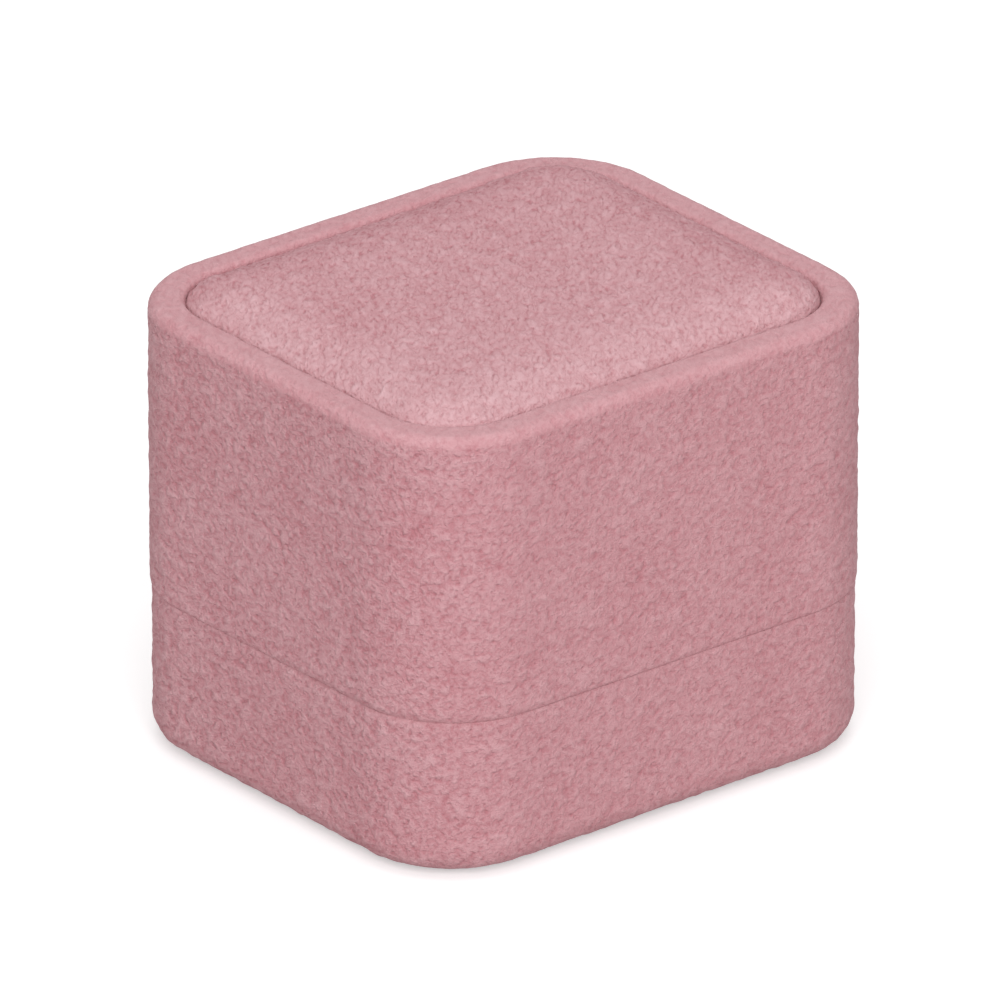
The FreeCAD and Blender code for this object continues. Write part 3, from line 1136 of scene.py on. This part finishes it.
@dataclass(frozen=True)
class Lamp:
    """A soft square lamp that points at the box."""

    name: str
    azimuth: float
    elevation: float
    distance: float
    size: float
    level: float

    def build(self, target: Vector) -> None:
        """Sets the lamp up so that it alone would light a white card, square to it, to its level.

        Args:
            target: The point that it faces.
        """
        back = direction(self.azimuth, self.elevation)
        data = bpy.data.lights.new(self.name, "AREA")
        data.shape = "SQUARE"
        data.size = self.size
        data.energy = math.pi**2 * self.distance**2 * self.level
        lamp = bpy.data.objects.new(self.name, data)
        lamp.location = target + back * self.distance
        lamp.rotation_euler = back.to_track_quat("Z", "Y").to_euler()
        bpy.context.scene.collection.objects.link(lamp)


@dataclass
class Studio:
    """The camera, the lamps, the world and the floor."""

    target: Vector = field(default_factory=lambda: Vector((0.0, 0.0, 24.16 * MM)))
    azimuth: float = -39.03
    elevation: float = 24.77
    distance: float = 2.1656
    lens: float = 785.8
    sensor: float = 36.0
    shift: tuple[float, float] = (-0.00343, 0.01214)
    world_level: float = 0.44
    floor_size: float = 20.0
    floor_tone: float = 0.72
    floor_glow: float = 0.45
    lamps: tuple[Lamp, ...] = (
        Lamp("key", azimuth=-38.0, elevation=35.0, distance=1.4, size=0.9, level=0.65),
        Lamp("overhead", azimuth=0.0, elevation=88.0, distance=1.3, size=1.0, level=0.28),
    )

    def build(self) -> None:
        """Sets the whole studio up."""
        self.set_camera()
        self.set_world()
        self.set_floor()
        for lamp in self.lamps:
            lamp.build(self.target)

    def set_camera(self) -> None:
        """Places the camera where the photograph was taken from."""
        back = direction(self.azimuth, self.elevation)
        data = bpy.data.cameras.new("camera")
        data.sensor_width = self.sensor
        data.lens = self.lens
        data.shift_x, data.shift_y = self.shift
        camera = bpy.data.objects.new("camera", data)
        camera.location = self.target + back * self.distance
        camera.rotation_euler = back.to_track_quat("Z", "Y").to_euler()
        bpy.context.scene.collection.objects.link(camera)
        bpy.context.scene.camera = camera
        bpy.context.scene.view_settings.view_transform = "Standard"

    def set_world(self) -> None:
        """Gives the room an even white light."""
        world = bpy.data.worlds.new("world")
        world.use_nodes = True
        background = world.node_tree.nodes["Background"]
        background.inputs["Color"].default_value = WHITE
        background.inputs["Strength"].default_value = self.world_level
        bpy.context.scene.world = world

    def set_floor(self) -> None:
        """Lays a pale floor that looks white and keeps the box's shadow."""
        bm = bmesh.new()
        bmesh.ops.create_grid(bm, x_segments=1, y_segments=1, size=self.floor_size / 2)
        floor = make_object("floor", bm)
        graph = Graph("floor")
        rays = graph.add("LightPath").outputs
        seen = graph.math("ADD", rays["Is Camera Ray"], rays["Is Glossy Ray"])
        seen = graph.math("ADD", seen, rays["Is Transmission Ray"])
        graph.fill(
            graph.shader,
            Base_Color=(self.floor_tone,) * 3 + (1.0,),
            Roughness=1.0,
            Specular_IOR_Level=0.0,
            Emission_Color=WHITE,
            Emission_Strength=graph.math("MULTIPLY", seen, self.floor_glow),
        )
        floor.data.materials.append(graph.material)


def finish_nodes() -> None:
    """Gives the rigid pieces that stay their materials."""
    finishes = {
        "bottom_card": PAPER,
        "base_tray": MOULDING,
        "lid_shell": MOULDING,
        "neck_card": CARD,
        "insert_card": CARD,
        "top_panel_card": CARD,
        "ceiling_pad_card": CARD,
    }
    for node, finish in finishes.items():
        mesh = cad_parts[node].data
        mesh.materials.clear()
        mesh.materials.append(MATERIALS[finish.name])


def main() -> None:
    """Builds the box's covers and pads and the studio."""
    logging.basicConfig(level=logging.INFO, format="%(name)s: %(message)s")
    for finish in (WALL_VELVET, PANEL_VELVET, INNER_VELVET, MOULDING, CARD, PAPER):
        MATERIALS[finish.name] = finish.material()
    finish_nodes()
    plan = Plan.of_node("lid_velvet")
    LidCover("lid_cover", "lid_velvet", "lid_shell", Body.LID, WALL_VELVET).build(plan)
    BaseCover("base_cover", "base_velvet", "base_tray", Body.BASE, WALL_VELVET).build(plan)
    NeckCover("neck_cover", "neck_velvet", "neck_card", Body.BASE, INNER_VELVET).build(plan)
    LidLining("lining", "lid_lining", "lid_shell", Body.LID, INNER_VELVET).build(plan)
    panel_corner = plan.corner - plan.inset_of("top_panel_velvet") - PANEL_CORNER_TUCK
    panel_nodes = ("top_panel_velvet", "top_panel_foam")
    TopPad("top_pad", panel_nodes, Body.LID, PANEL_VELVET, panel_corner).build()
    ceiling_corner = plan.corner - plan.inset_of("ceiling_pad_velvet")
    ceiling_nodes = ("ceiling_pad_velvet", "ceiling_pad_foam")
    CeilingPad("ceiling_pad", ceiling_nodes, Body.LID, INNER_VELVET, ceiling_corner).build()
    for place in ("front", "middle", "rear"):
        roll_nodes = (f"{place}_roll_velvet", f"{place}_roll_foam")
        RingRoll(f"{place}_roll", roll_nodes, Body.BASE, INNER_VELVET).build()
    Studio().build()


if __name__ == "__main__":
    main()
